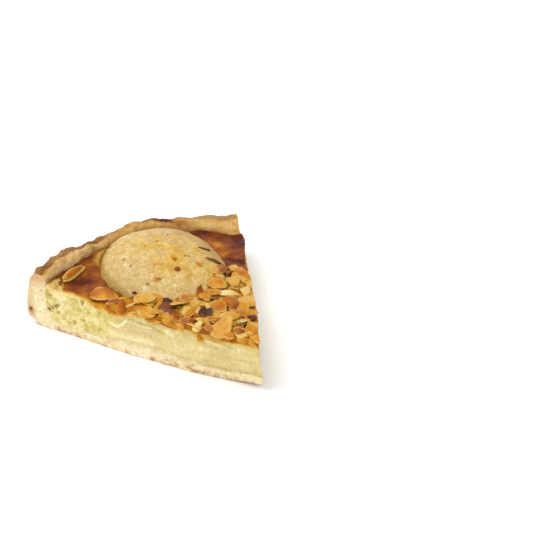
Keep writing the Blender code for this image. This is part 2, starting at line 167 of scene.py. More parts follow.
def polar(points):
    """Distance from the tip in mm, and direction in degrees."""
    x, y = points[:, 0] - TIP[0], points[:, 1] - TIP[1]
    return np.hypot(x, y), np.degrees(np.arctan2(x, y))


def at(radius, angle):
    """The place at that distance and direction, in degrees, from the tip."""
    turn = math.radians(angle)
    return TIP[0] + radius * math.sin(turn), TIP[1] + radius * math.cos(turn)


def cut_axes(side):
    """Unit vectors along a cut, away from the tip, and out of the slice."""
    along = np.array([side * math.sin(HALF_ANGLE), math.cos(HALF_ANGLE)])
    return along, np.array([side * along[1], -side * along[0]])


def out_of_cut(points, side):
    """How far points lie outside the plane of a cut."""
    return (points[:, :2] - CUTS_MEET) @ cut_axes(side)[1]


def on_cut(points, side):
    """Distance along a cut and height, as columns."""
    return np.stack([(points[:, :2] - CUTS_MEET) @ cut_axes(side)[0], points[:, 2]], axis=1)


def push(points, distance, side):
    """Moves points straight out of a cut, each by its own distance."""
    points[:, :2] += distance[:, None] * cut_axes(side)[1]


def cut_bulge(place, side):
    """How far a cut face stands out of its plane. The foot of the front one has spread."""
    along, z = place.T
    if side == FRONT:
        return 2.4 * ease(6, 45, along) * (1 - ease(72, 118, along)) * (1 - ease(3, 19, z))
    return -1.6 * ease(6, 21, z) * (1 - ease(5, 26, along)) - 0.8 * ease(12, 19, z) * ease(110, 114, along)


def slump(angle):
    """How far the inside of the rim leans inwards at angles in degrees."""
    steps = np.array(RIM_SLUMP)
    place = np.clip((angle - SLUMP_FROM) / SLUMP_STEP, 0, len(steps) - 1.001)
    step = place.astype(int)
    return steps[step] + (steps[step + 1] - steps[step]) * ease(0, 1, place - step)


def lump(x, y, size, seed):
    """The same noise that shapes the filling's top, x and y in mm."""
    return 1.6 * noise.noise(Vector((x / size + seed * 17.3, y / size - seed * 9.1, 0)))


def filling_height(points):
    """Height of the filling's baked top."""
    radius, angle = polar(points)
    height = FILLING_HEIGHT + 2.6 * (1 - ease(5, 16, angle)) * ease(INNER_RADIUS - 12, INNER_RADIUS, radius)
    height += np.where(radius < 30, 1.2 * ease(30, 6, radius), 0)
    height -= blob(points, *at(106, -20), 11) + 1.2 * blob(points, *at(91, -28), 9)
    height -= 1.2 * ease(18, 25, angle) * ease(98, 110, radius)
    return height + [0.55 * lump(x, y, 13, 1) + 0.35 * lump(x, y, 5, 2) for x, y in points[:, :2] - TIP]


# Meshes


def read_vectors(items, name):
    data = np.empty(len(items) * 3)
    items.foreach_get(name, data)
    return data.reshape(-1, 3)


def set_coords(obj, points):
    obj.data.vertices.foreach_set("co", (points * MM).ravel())
    obj.data.update()


def relax(obj, rounds):
    """Evens out a mesh by moving each vertex half way to the middle of its neighbours."""
    points = read_vectors(obj.data.vertices, "co") / MM
    edges = np.empty(len(obj.data.edges) * 2, int)
    obj.data.edges.foreach_get("vertices", edges)
    a, b = edges.reshape(-1, 2).T
    n = len(points)
    neighbours = np.bincount(edges, minlength=n)[:, None]
    for _ in range(rounds):
        total = np.stack([np.bincount(a, p[b], n) + np.bincount(b, p[a], n) for p in points.T], axis=1)
        points += 0.5 * (total / neighbours - points)
    set_coords(obj, points)


def fine_copy(node, name, voxel, rounds=3):
    """A CAD node's shape as a dense, even mesh, ready for relief, with its points in mm and its normals."""
    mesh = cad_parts[node].data.copy()
    mesh.materials.clear()
    bm = bmesh.new()
    bm.from_mesh(mesh)
    bmesh.ops.remove_doubles(bm, verts=bm.verts[:], dist=0.002 * MM)
    bm.to_mesh(mesh)
    bm.free()
    obj = bpy.data.objects.new(name, mesh)
    bpy.context.scene.collection.objects.link(obj)
    remesh = obj.modifiers.new("even mesh", "REMESH")
    remesh.mode = "VOXEL"
    remesh.voxel_size = voxel * MM
    even = bpy.data.meshes.new_from_object(obj.evaluated_get(bpy.context.evaluated_depsgraph_get()))
    obj.modifiers.clear()
    obj.data = even
    even.name = name
    for layer in list(even.color_attributes):
        even.color_attributes.remove(layer)
    even.shade_smooth()
    relax(obj, rounds)
    return obj, read_vectors(even.vertices, "co") / MM, read_vectors(even.vertex_normals, "vector")


def square_off(points, out, side, reach=1.4):
    """Brings what lies near a cut onto it, so that no groove shows between the pieces.

    Returns how much each point belongs to the cut face.
    """
    gap = out_of_cut(points, side) - cut_bulge(on_cut(points, side), side)
    near = ease(-reach - 0.7, -reach, gap) * ease(0.1, 0.35, out[:, :2] @ cut_axes(side)[1])
    push(points, -near * gap, side)
    return near


def sideways(out, cut, side):
    """The part of the normals that points along the cut face, for the points that lie on it."""
    outward = np.append(cut_axes(side)[1], 0)
    return out - (cut * (out @ outward))[:, None] * outward


# Colours


def linear(shade):
    """A surface colour from a colour on the screen, in the slice's light."""
    return np.minimum((np.asarray(shade, float) / 255) ** 2.2 / EXPOSURE, 1)


def shades(tone, *stops):
    """Colours for an array of tones. Each stop is a tone and its red, green and blue."""
    tones = [stop[0] for stop in stops]
    table = np.array([linear(stop[1:]) for stop in stops])
    return np.stack([np.interp(tone, tones, channel) for channel in table.T], axis=1)


def over(paint, share, shade):
    """Lays a colour, or a colour for each vertex, over those of the vertices, by a share for each."""
    shade = linear(shade) if isinstance(shade, tuple) else shade
    paint += np.clip(share, 0, 1)[:, None] * (shade - paint)


def lit_from_above(paint, exposure=TOP_EXPOSURE, gloss=TOP_GLOSS):
    """Colours for surfaces that face up, made so that they look as given in that brighter light."""
    return np.maximum((paint * EXPOSURE - gloss) / exposure, 0.003)


# Materials


class Look:
    """A Principled material, with short names for the nodes that feed it."""

    def __init__(self, name, **values):
        self.material = bpy.data.materials.new(name)
        self.material.use_nodes = True
        self.tree = self.material.node_tree
        self.shader = self.tree.nodes["Principled BSDF"]
        for socket, value in values.items():
            self.set(socket.replace("_", " "), value)
        self.place = self.add("ShaderNodeTexCoord").outputs["Object"]
        self.bumps = None

    def add(self, kind, **settings):
        node = self.tree.nodes.new(kind)
        for key, value in settings.items():
            setattr(node, key, value)
        return node

    def plug(self, value, socket):
        if isinstance(value, bpy.types.NodeSocket):
            self.tree.links.new(value, socket)
        else:
            socket.default_value = value

    def set(self, socket, value):
        self.plug(value, self.shader.inputs[socket])

    def noise(self, size, detail, roughness):
        """Noise from 0 to 1 with lumps of size mm."""
        node = self.add("ShaderNodeTexNoise")
        for name, value in (("Scale", 1 / (size * MM)), ("Detail", detail), ("Roughness", roughness)):
            node.inputs[name].default_value = value
        self.plug(self.place, node.inputs["Vector"])
        return node.outputs["Fac"]

    def scaled(self, value, low, high, to_low=0.0, to_high=1.0):
        node = self.add("ShaderNodeMapRange", interpolation_type="SMOOTHSTEP")
        self.plug(value, node.inputs["Value"])
        for name, number in zip(("From Min", "From Max", "To Min", "To Max"), (low, high, to_low, to_high)):
            node.inputs[name].default_value = number
        return node.outputs[0]

    def mix(self, share, a, b, blend="MIX"):
        node = self.add("ShaderNodeMix", data_type="RGBA", blend_type=blend)
        self.plug(share, node.inputs["Factor"])
        self.plug(a, node.inputs[6])
        self.plug(b, node.inputs[7])
        return node.outputs[2]

    def mottled(self, size, dark, light):
        """The vertices' own colours as the base colour, mottled with darker and lighter grains of size mm.

        dark multiplies the colour, and light is how much brighter the light grains are.
        """
        paint = self.add("ShaderNodeAttribute", attribute_name="paint").outputs["Color"]
        low = self.scaled(self.noise(size, 5, 0.6), 0.5, 0.32)
        high = self.scaled(self.noise(size * 0.8, 4, 0.55), 0.5, 0.66)
        tinted = self.mix(low, paint, self.mix(1.0, paint, (*dark, 1), "MULTIPLY"))
        lighter = self.mix(1.0, tinted, (1 + light, 1 + light, 1 + light, 1), "MULTIPLY")
        self.set("Base Color", self.mix(high, tinted, lighter))

    def relief(self, size, depth, detail=5, roughness=0.6):
        """Noise of size and depth mm in the surface, on top of the relief that was there."""
        node = self.add("ShaderNodeBump")
        node.inputs["Distance"].default_value = depth * MM
        self.plug(self.noise(size, detail, roughness), node.inputs["Height"])
        if self.bumps:
            self.plug(self.bumps, node.inputs["Normal"])
        self.bumps = node.outputs["Normal"]
        self.set("Normal", self.bumps)

    def glow(self, weight, scale, radius=(1.0, 0.6, 0.3)):
        """Light that soaks into the surface, about scale mm deep."""
        self.set("Subsurface Weight", weight)
        self.set("Subsurface Radius", radius)
        self.set("Subsurface Scale", scale * MM)


def finish_piece(obj, paint, look, slot, *nodes):
    """Paints a piece and gives it its look: it rides on the slice and stands for its CAD nodes, which are
    hidden.
    """
    layer = obj.data.color_attributes.new("paint", "FLOAT_COLOR", "POINT")
    layer.data.foreach_set("color", np.hstack([paint, np.ones((len(paint), 1))]).ravel())
    obj.data.materials.append(look.material)
    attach(obj, "root")
    if nodes:
        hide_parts(*nodes)


# The cut faces, which run over the pastry, the filling and the pear. Lines and spots are given as
# (distance along the cut, height), and spots also with their size. BASE_TOP, PEAR_TOP and SOAKED_TO are the
# heights, along the front cut, of the pastry, of the cut pear and of what soaked in from the top. The hidden
# cut has plain ones.

HIDDEN_BASE_TOP = 5.4
HIDDEN_SOAKED_TO = 21.5
BASE_TOP = (
    (0, 9, 18, 30, 40, 50, 66, 80, 90, 105, 118),
    (6.9, 6.6, 5.3, 5.4, 6.2, 6.8, 7.0, 6.7, 5.8, 5.0, 4.9),
)
PEAR_TOP = (
    (0, 10, 22, 31, 45, 54, 60, 66, 72, 74.5, 75.7, 77.4, 80, 84.4, 85.6),
    (17.0, 17.6, 18.6, 19.0, 17.5, 16.6, 18.2, 18.2, 19.3, 18.5, 17.0, 14.9, 13.4, 14.1, 9.0),
)
SOAKED_TO = (
    (0, 6, 15, 25, 31, 36, 42, 51, 55, 58, 65, 72, 76, 81, 84, 88, 91, 95, 102, 118),
    (22, 22.2, 21, 21.6, 20.8, 20, 21.6, 20.4, 20.5, 21.6)
    + (21.8, 21, 19.4, 17.9, 18.6, 20, 18.8, 20.8, 22.6, 23.6),
)
DARK_PITS = (120.6, 11.4, 1.2, 0.9), (118.6, 12.7, 1.1, 0.6, 25), (116.6, 14.1, 1.2, 0.9), (115.4, 14.9, 0.7)
SMALL_PITS = (
    (122.3, 24.2, 0.8), (124.4, 21.4, 0.8), (120.3, 20.6, 0.9), (119.2, 20.2, 0.8), (122, 17.9, 0.8),
    (123.7, 15.9, 0.7), (126.1, 8.3, 0.7),
    (51.5, 2.6, 1.3, 0.5), (52.3, 4.5, 1.1, 0.5), (37.4, 3.7, 0.9, 0.5),
)
OLIVE_PATCHES = (
    (116.7, 18.2, 2.2, 1.4), (104.9, 20.8, 2.4, 1.1, 20), (110.7, 18, 1.6, 1), (97, 15.9, 1.5, 1.6),
    (110.3, 12.1, 1, 1.3), (93.9, 7.9, 1.5, 1.8), (122, 8.4, 1.2, 1), (112.9, 7.6, 2.4, 1),
    (118.8, 5.3, 1.6, 0.8), (24.6, 15.7, 3.4, 1.1, 10), (30.1, 8, 3, 1.6), (1.6, 6.9, 3, 0.9),
    (120, 16.6, 1.8, 3.2), (120.8, 11.6, 1.6, 2.4),
)
PALE_LUMPS = (
    (115.1, 14.1, 0.9), (106.2, 9.6, 1.2), (110.5, 21.1, 1.4), (102.5, 23, 1.5), (118.8, 15.7, 1),
    (108.6, 16.4, 1.1), (97.4, 12.2, 1.3), (51.7, 17.9, 1.6), (49.2, 16.8, 1.2), (12.7, 19.2, 2, 1),
)
PEAR_LIP = ((84.4, 14.1), (82.0, 13.4), (79.9, 13.4), (77.4, 14.9), (75.7, 17.0), (74.5, 18.5))
PEAR_EDGE = ((71.9, 19.3), (69.3, 18.8), (66.4, 18.2), (63.5, 18.1), (60.6, 18.3), (58.3, 17.2), (53.5, 16.4))
RIGHT_CREASES = ((26.5, 19.9), (21.4, 20.3)), ((18.6, 18.7), (15.6, 18.1)), ((19.5, 12.4), (5.6, 13.4))


def cut_marks(points, side):
    """How much of each kind of spot there is on a cut face: pastry, pear, open crumb, soaked and others, some
    of which are painted shade and highlight.
    """
    place = on_cut(points, side)
    along, z = place.T
    front = side == FRONT
    rough = 0.55 * waves(points, 2.4, 201, 2)
    foot = np.sqrt(np.maximum(FOOT_RADIUS**2 - np.maximum(FOOT_TOP - z, 0) ** 2, 0))
    wall = INNER_RADIUS - FOOT_RADIUS + foot
    wall -= np.where(z > FOOT_TOP, slump(side * HALF_DEGREES) * ease(14, 23, z), 0)
    base = np.interp(along, *BASE_TOP) if front else HIDDEN_BASE_TOP
    hidden_soaked_to = 22 - 1.4 * ease(90, 70, along) - 1.3 * ease(100, 106, along)
    soaked_to = np.interp(along, *SOAKED_TO) if front else hidden_soaked_to
    fringe = 1.1 * rough + 1.3 * ease(62, 50, along) * wave(points * [1, 1, 0.3], 4, 97)
    marks = dict.fromkeys(("pear", "olive_and_shade", "dark", "pale"), 0 * z)
    marks["open"] = 0 * z + 0.6
    marks["pastry"] = ease(-0.5, 0.5, np.maximum(base - z, along - wall) + rough)
    marks["soaked"] = ease(-1.5, 1.2, z - soaked_to + fringe)
    if side == BACK:
        return marks

    blur = 0.4 + ease(56, 44, along)
    pear_top = np.interp(along, *PEAR_TOP) + 0.4 * rough
    marks["pear"] = ease(-blur, blur, pear_top - z) * ease(85.8, 84.2, along + rough)
    marks["open"] = ease(80, 92, along + 4 * wave(points, 9, 51))
    soaked = strongest(
        marks["soaked"],
        0.85 * trail(place, 1.3, (38.4, 21.6), (36.9, 19.3), (34.0, 16.6)),
        0.8 * trail(place, 0.8, (91, 22), (91, 18.9)),
        0.8 * trail(place, 0.7, (84.8, 21), (84.8, 18.4)),
    )
    marks["soaked"] = soaked * (1 - 0.6 * ease(105, 112, along))
    above = z - base
    # Olive marks: painted shade in the crumb's hollows and creases and along the pear's edge, and the crumb's
    # darker olive just above the pastry
    marks["olive_and_shade"] = strongest(
        0.75 * blobs(place, *OLIVE_PATCHES) * ease(-0.5, 0.6, waves(points, 1.7, 57, 2)),
        trail(place, 0.6, *PEAR_EDGE),
        *(0.55 * trail(place, 0.5, *crease) for crease in RIGHT_CREASES),
        0.6 * ease(2.6, 0.3, above) * ease(86, 70, along) * ease(-0.4, 0.3, above),
    )
    # Dark marks: painted shade in the pits
    marks["dark"] = strongest(blobs(place, *DARK_PITS), 0.6 * blobs(place, *SMALL_PITS))
    # Pale marks: paler bits of crumb and a pale streak in the pear, with painted highlight on lumps and
    # edges, and under the pear's edge
    marks["pale"] = strongest(
        0.8 * blobs(place, *PALE_LUMPS),
        trail(place, 0.75, *PEAR_LIP),
        0.7 * trail(place, 0.5, (68.7, 17.2), (65.5, 17.0), (60.6, 17.4)),
        0.7 * trail(place, 0.5, (31.2, 19.3), (25.9, 18.6), (22.7, 18.4)),
        0.6 * trail(place, 1.4, (84, 8.7), (78, 8.9), (60, 9.2)),
    )
    return marks


def cut_relief(points, marks):
    """How far a cut face stands out, in mm, and how deep its pits are."""
    crumb = (1 - marks["pastry"]) * (1 - 0.85 * marks["pear"]) * (0.3 + 0.7 * marks["open"])
    rough = 0.34 * waves(points, 3.0, 61) + 0.3 * waves(points, 1.3, 64, 2)
    holes = ease(0.5, 1.2, waves(points, 2.2, 53, 3)) * marks["open"]
    pastry = marks["pastry"] * (0.16 * waves(points, 2.6, 24) + 0.1 * waves(points, 1.2, 27, 2))
    move = crumb * (rough - 0.8 * holes) + pastry + 0.1 * marks["pear"] * waves(points, 5, 29)
    move += 0.4 * marks["pale"] - 0.35 * marks["olive_and_shade"] - 1.1 * marks["dark"] + 0.25 * marks["soaked"]
    return move, crumb * np.clip(holes - 0.5 * rough, 0, 1)


def cut_paint(points, side, marks, pits):
    """The colours of a cut face, from its marks and how deep its pits are."""
    place = on_cut(points, side)
    along, z = place.T
    pastry, filling = marks["pastry"], 1 - marks["pastry"]
    tone = 0.5 + 0.3 * waves(points, 3.2, 211, 2) + 0.12 * waves(points, 1.2, 214, 2)
    crumb = (0.1, 202, 182, 98), (0.4, 226, 208, 130), (0.6, 240, 222, 154), (0.9, 250, 238, 190)
    paint = shades(tone, (0.2, 216, 194, 122), (0.8, 236, 218, 152))
    over(paint, marks["open"], shades(tone, *crumb))
    # The hidden cut is painted warmer and lighter: painted light against the shade it lies in
    if side == BACK:
        over(paint, np.full(len(z), 0.3), (246, 214, 150))
    streak = 0.2 * waves(np.stack([along / 7, z, 0 * z], 1), 1.6, 91) + 0.25 * waves(points, 9, 94, 2)
    flesh = shades(0.5 + streak, (0.1, 214, 191, 127), (0.5, 227, 206, 143), (0.9, 237, 221, 164))
    over(flesh, 0.75 * blobs(place, (71, 13.3, 8, 2.4), (64, 13.2, 6, 2), (80, 11.8, 4, 2)), (219, 190, 132))
    over(flesh, 0.5 * blobs(place, (62, 9.6, 5, 1.6), (46, 11, 6, 2)), (234, 214, 162))
    over(paint, marks["pear"], flesh)
    # Painted shade in hollows, creases and along the pear's edge, and darker olive above the pastry
    over(paint, 0.85 * marks["olive_and_shade"] * filling, (196, 176, 98))
    # Paler bits, with painted highlight on lumps and edges
    over(paint, marks["pale"] * filling, (250, 240, 190))
    # Painted shade in the pits, darker the deeper they are
    over(paint, pits, (180, 162, 82))

    # Pastry: cream, tan towards the outside and the top, flecked with brown where it touched the tin
    dough = shades(tone, (0.1, 232, 206, 150), (0.5, 243, 225, 178), (0.9, 252, 242, 208))
    wall = ease(118, 124, along)
    over(dough, 0.75 * wall * ease(127.5, 131.5, along + 0.8 * wave(points, 5, 36)), (222, 188, 140))
    over(dough, 0.8 * wall * ease(21.5, 28.5, z + 1.2 * wave(points, 4, 37)), (212, 160, 102))
    low = ease(3.6, 0.8, z + 0.9 * waves(points, 3, 38, 2)) * (1 - wall)
    burnt = 0.1 + 0.4 * blobs(place, (115, 1, 14, 9), (30, 1, 16, 9))
    burnt += 0.6 * waves(points * [1, 1, 1.5], 3.0, 39, 3)
    over(dough, 1.3 * low * np.maximum(burnt, 0), (186, 132, 78))
    over(dough, 0.5 * blobs(place, (26.7, 2.7, 4, 1.2), (6, 2, 4, 2)), (244, 214, 170))
    over(dough, 0.7 * blob(place, 131.3, 7.8, 2.0, 2.4), (196, 128, 74))
    over(dough, 1.2 * blob(place, 131.5, 8.9, 1.0, 1.1), (84, 40, 14))
    over(paint, pastry, dough)
    base = pastry * (along < 112)
    over(paint, 0.55 * base * ease(-1.6, -0.2, z - np.interp(along, *BASE_TOP)), (214, 190, 128))
    # Painted shade in the dark pits, browner where they lie in the pastry
    over(paint, marks["dark"] * (1 - 0.6 * pastry), (112, 96, 28))
    over(paint, 0.7 * marks["dark"] * base, (126, 80, 34))

    # Where sugar and butter from the top soaked in
    soaked_to = np.interp(along, *SOAKED_TO) if side == FRONT else HIDDEN_SOAKED_TO
    depth = z - soaked_to + 0.8 * waves(points, 3, 98)
    amber = shades(depth, (-0.5, 232, 196, 110), (0.8, 218, 160, 58), (2.4, 180, 106, 24))
    over(paint, marks["soaked"] * filling, amber)
    return paint


def both_cuts(points, out):
    """Squares off both cuts. Returns how much each point belongs to the front one and to the back one, and
    for each its side, that share, its relief and its paint."""
    shares = [square_off(points, out, side) for side in (FRONT, BACK)]
    cuts = []
    for side, share in zip((FRONT, BACK), shares):
        marks = cut_marks(points, side)
        move, pits = cut_relief(points, marks)
        cuts.append((side, share, move, cut_paint(points, side, marks, pits)))
    return *shares, cuts


def lay_cuts(points, paint, cuts):
    """Adds the cuts' relief to the points, and their colours to the paint."""
    for side, share, move, face in cuts:
        push(points, share * move, side)
        over(paint, share, face)


# The pastry case


def make_crust():
    obj, points, out = fine_copy("crust", "crust_baked", 0.55)
    front, back, cuts = both_cuts(points, out)
    uncut = 1 - np.maximum(front, back)
    radius, angle = polar(points)
    z = points[:, 2]
    inner = INNER_RADIUS - slump(angle) * ease(14, 22, z)
    across = (radius - inner) / (TART_RADIUS - inner)
    wall = ease(119, 124, radius) * ease(3, 9, z)
    top = ease(20, 25, z) * ease(0.0, 0.7, out[:, 2]) * ease(-0.3, 0.1, across)
    left = ease(-3, -9, angle)
    right = ease(14, 20, angle)

    # The fold along the rim, deepest at the left, its pinched inner lip, and the skin's dimples and cracks
    wander = 0.1 * wave(points, 9, 3) + 0.08 * wave(points, 3, 6)
    fold = bell(across - wander, 0.46, 0.15) * top
    lip = bell(across, 0.08, 0.22) * ease(17, 23, z)
    move = -fold * (0.15 + 0.95 * left) * (1 - right)
    move += lip * (0.35 + 0.75 * left) * wave(points, 7, 4) * (1 - 0.5 * right)
    skin = uncut * ease(1.0, 3.0, z) * wall
    move += skin * (0.3 + 0.25 * left) * waves(points, 3.6, 5)
    move += skin * (0.14 + 0.08 * left) * waves(points, 1.3, 8)
    move -= 0.3 * skin * (1 - ease(0.0, 0.16, np.abs(waves(points, 6.5, 12, 2))))
    crumbly = right * ease(23, 27.5, angle) * top
    move += crumbly * 0.5 * waves(points, 1.8, 14, 2)
    points += out * (move * uncut)[:, None]

    # Dents between its outer bumps, and where its inside droops at the right. Places on the rim are given as
    # (angle, mm out from its inner edge).
    rim = np.stack([angle, across * RIM_WIDTH], axis=1)
    outward = (points[:, :2] - TIP) / np.maximum(radius, 1)[:, None]
    dents = blobs(rim, (-24.2, 7, 1.3, 5), (-19, 7, 1.4, 5), (-12.8, 7, 1.4, 5))
    droop = (1.4 * ease(21, 25, angle) + bell(angle, 14, 2.2)) * ease(0.35, 0.0, across) * ease(17, 20.5, z)
    z -= 1.1 * dents * ease(22, 27, z) + 0.9 * droop
    points[:, :2] -= (0.9 * dents * ease(18, 26, z) + 0.7 * droop)[:, None] * outward

    # Where the pastry took colour in the oven, with painted highlight on the lip and painted shade in the
    # rim's fold
    toast = 0.42 + 0.12 * waves(points, 9, 31) + 0.1 * waves(points, 2.6, 33)
    toast += 0.1 * left * waves(points, 4, 42) + 0.07 * waves(points, 1.2, 43, 2)
    toast += 0.24 * left * top * ease(0.2, 0.5, across)
    # Painted highlight on the lip's crest and, at the left, on its inside; painted shade in the fold
    toast -= 0.1 * bell(across, 0.2, 0.2) * top
    toast -= 0.36 * left * bell(across, -0.02, 0.17) * ease(18, 22, z)
    toast += 0.12 * fold * left
    toast += 0.5 * trail(rim, 2.0, (6.8, 6.0), (8.6, 5.2), (10.6, 4.0)) * top
    toast += 0.26 * trail(rim, 1.6, (10.6, 3.6), (12.4, 2.2), (16.0, 1.5)) * top
    toast += (0.12 * ease(0.3, 0.6, across) - 0.12) * right * top
    paint = shades(
        toast,
        (0.05, 226, 190, 132), (0.28, 214, 172, 108), (0.48, 196, 148, 90),
        (0.66, 166, 116, 66), (0.82, 130, 80, 40), (1.0, 84, 48, 24),
    )
    over(paint, 0.58 * left * top * ease(0.25, 0.6, across), (150, 118, 84))
    over(paint, 0.55 * ease(4, 10, angle) * top * ease(0.42, 0.58, across), (158, 130, 94))
    over(paint, 0.6 * crumbly * ease(0.0, 0.6, wave(points, 2.4, 34)), (236, 190, 104))
    over(paint, 0.6 * crumbly * ease(0.1, 0.6, wave(points, 1.9, 35)), (176, 116, 56))
    # Painted light: the inside of the rim under its lip, at the left, is painted lighter against the shade it
    # gets
    raised = left * (z > 20)
    over(paint, 0.75 * raised * ease(0.12, -0.05, across) * ease(0.5, 0.1, out[:, 2]), (238, 204, 146))
    # Painted shade at the foot of the rim's inside, at the left, where it meets the filling
    shade_at_rim_foot = raised * ease(27.2, 25.2, z + 1.5 * waves(points, 4, 40, 2)) * ease(0.25, 0.0, across)
    over(paint, 0.7 * shade_at_rim_foot, (150, 98, 46))
    over(paint, ease(0.1, 0.6, out[:, 2]), lit_from_above(paint))
    lay_cuts(points, paint, cuts)
    z[:] = np.maximum(z, 0.0)
    set_coords(obj, points)

    look = Look("shortcrust", Roughness=0.75, Specular_IOR_Level=0.25)
    look.mottled(1.3, (0.9, 0.84, 0.76), 0.2)
    look.glow(0.12, 1.2)
    look.relief(4, 0.3)
    look.relief(0.7, 0.16, 6, 0.65)
    finish_piece(obj, paint, look, "crust", "crust")


# The almond filling


def baked_brown(points):
    """How brown the filling's top is, from 0 for pale to 1 for nearly black."""
    radius, angle = polar(points)
    brown = 0.56 + 0.08 * waves(points, 7, 41) + 0.06 * waves(points, 2.2, 44)
    # The corner between the front cut, the crust and the pear
    brown += 0.38 * blob(points, -39.8, 36.2, 6.2, 4.0, -34) + 0.2 * blob(points, -26.5, 51, 4, 2)
    brown += 0.14 * blob(points, -34, 46, 4, 8, 50) + 0.18 * blob(points, -46, 32, 12, 4.5, -61)
    brown -= 0.2 * blobs(points, (-51, 33, 7, 4, 60), (-46, 24, 9, 4, 66), (-40, 17, 8, 5, 40))
    brown -= 0.1 * ease(5.5, 1.0, -out_of_cut(points, FRONT))
    # The glossy band between the pear and the other cut: amber along the pear, darkest at both ends
    band = 0.09 - 0.3 * trail(points, 3.4, (35, 33), (36.5, 28), (35.5, 21), (34.5, 18.5))
    to_rim = radius - INNER_RADIUS + slump(angle)
    band += 0.12 * ease(-6, -0.5, to_rim + 1.5 * wave(points, 6, 46))
    band += 0.2 * blobs(points, (47.5, 24, 5, 9, -30), (37, 44, 6, 3))
    brown += band * ease(9, 14, angle) * ease(78, 84, radius)
    return brown + 0.26 * trail(points, 1.8, (33.4, 13.4), (36, 9), (38, 5))


def make_frangipane():
    obj, points, out = fine_copy("frangipane", "frangipane_baked", 0.5)
    z = points[:, 2]
    top = filling_height(points)
    z[:] = np.where(z > top - 0.6, np.minimum(z, top), z)
    # Its foot stands out of the hidden cut where it swelled: that is cut off
    push(points, -np.maximum(out_of_cut(points, BACK), 0) * ease(19, 15, z), BACK)
    front, back, cuts = both_cuts(points, out)
    uncut = 1 - np.maximum(front, back)
    above = ease(1.6, 0.6, top - z) * ease(0.4, 0.75, out[:, 2])
    # Fills the case up to its wall under the slumped rim, and down to its base
    radius, angle = polar(points)
    outward = (points[:, :2] - TIP) / np.maximum(radius, 1)[:, None]
    facing = ease(0.2, 0.7, np.sum(out[:, :2] * outward, axis=1)) * ease(18, 25, angle) * (radius > 95)
    gap = (2.8 + 1.2 * bell(z, 14.5, 3.5)) * facing * ease(21.5, 18.5, z) * ease(7, 10, z)
    points[:, :2] += gap[:, None] * outward
    z -= 0.5 * ease(-0.3, -0.8, out[:, 2]) * ease(12, 9, z)
    # The burnt end of the band, swollen up against the rim
    swollen = blob(points, 52.6, 29.5, 5, 4)
    z += 0.7 * swollen * ease(15, 21, z)
    push(points, 0.9 * swollen * ease(18, 21.5, z), BACK)
    grow = sideways(sideways(out, front, FRONT), back, BACK)
    grow[:, 2] *= 1 - above
    points += 0.65 * grow * (1 - above)[:, None]

    # Blistered, sticky top
    blister = 1 - ease(0.25, 0.75, cells(points, 6.0, 67))
    lift = above * (0.35 * blister + 0.28 * waves(points, 4.0, 69) + 0.1 * waves(points, 1.4, 72))
    paint = shades(
        baked_brown(points) + 0.12 * blister - 0.06,
        (0.05, 238, 196, 108), (0.24, 214, 148, 50), (0.4, 184, 110, 36), (0.55, 152, 86, 36),
        (0.7, 126, 68, 26), (0.85, 100, 52, 24), (1.0, 74, 38, 20),
    )
    # The worn edge along the front cut, crumb and then amber
    worn = np.interp(on_cut(points, FRONT)[:, 0], (92, 100, 106, 113, 118), (0.3, 1.6, 2.6, 2.0, 1.0))
    inside = 0.8 * waves(points, 3, 79, 2) - out_of_cut(points, FRONT) - worn
    over(paint, 0.8 * ease(2.2, 0.6, inside) * ease(88, 96, radius), (222, 158, 58))
    over(paint, ease(1.0, -0.8, inside) * ease(92, 99, radius), (240, 216, 140))
    # Painted light: a pale patch in the nook between the pear and the rim, against the shade there
    over(paint, 0.9 * blob(points, 28, 50, 4.5, 1.8, -25), (218, 180, 120))
    corner = np.hypot(points[:, 0] + 54.5, points[:, 1] - 39.5)
    over(paint, ease(5.4, 2.8, corner + 2.2 * wave(points, 1.6, 74)), (222, 186, 108))
    over(paint, 0.9 * ease(8, 4, corner) * ease(0.2, 0.5, waves(points, 0.8, 75, 2)), (112, 84, 34))
    goo = trail(points, 2.0, (-16, 53.5), (-21.5, 50.5), (-24.5, 47.5))
    over(paint, 0.85 * goo * ease(-1.5, -0.3, waves(points, 3, 78, 2)), (208, 168, 86))
    # Painted shade along the foot of the rim, at the left, next to the pear
    over(paint, 0.8 * trail(points, 0.9, (-16.5, 52.6), (-20, 50), (-23.4, 46)), (140, 104, 32))
    lift += ease(5, 2, corner) * above * 0.7 * wave(points, 2.2, 77)
    points += out * (lift * uncut)[:, None]
    paint = lit_from_above(paint, gloss=0.02)
    lay_cuts(points, paint, cuts)
    set_coords(obj, points)
    glossy = obj.data.attributes.new("glossy", "FLOAT", "POINT")
    glossy.data.foreach_set("value", above * uncut)

    look = Look("almond_filling", Specular_IOR_Level=0.15, Specular_Tint=(1.0, 0.8, 0.5, 1))
    look.mottled(1.2, (0.84, 0.76, 0.6), 0.14)
    mask = look.add("ShaderNodeAttribute", attribute_name="glossy").outputs["Fac"]
    look.set("Roughness", look.scaled(mask, 0, 1, 0.62, 0.36))
    look.set("Coat Weight", look.scaled(mask, 0.3, 1, 0.0, 0.05))
    look.set("Coat Roughness", 0.22)
    look.glow(0.2, 1.4)
    look.relief(3.2, 0.25)
    look.relief(0.6, 0.14, 6, 0.65)
    finish_piece(obj, paint, look, "frangipane", "frangipane")


# The pears. On the standing one there are dots, given by x and y, and smears and granules, with their size.

PEAR_DOTS = ((-19.4, 28.7), (-19.5, 22.0), (9.9, 33.8), (7.5, 13.7), (9.5, 13.0), (-18.4, 7.8), (-16, 47))
PEAR_SMEARS = ((10.4, 20.5, 1.3, 0.8), (-9.1, 14.9, 1.4, 0.8), (3.2, 1.4, 2.0, 1.2), (1.5, 25.3, 1.2, 0.7))
PEAR_GRANULES = ((-20.8, 24.9, 0.9), (-20.0, 22.7, 0.8), (-20.7, 7.1, 0.9), (-7.2, -0.5, 0.9), (-26, 35, 0.8))


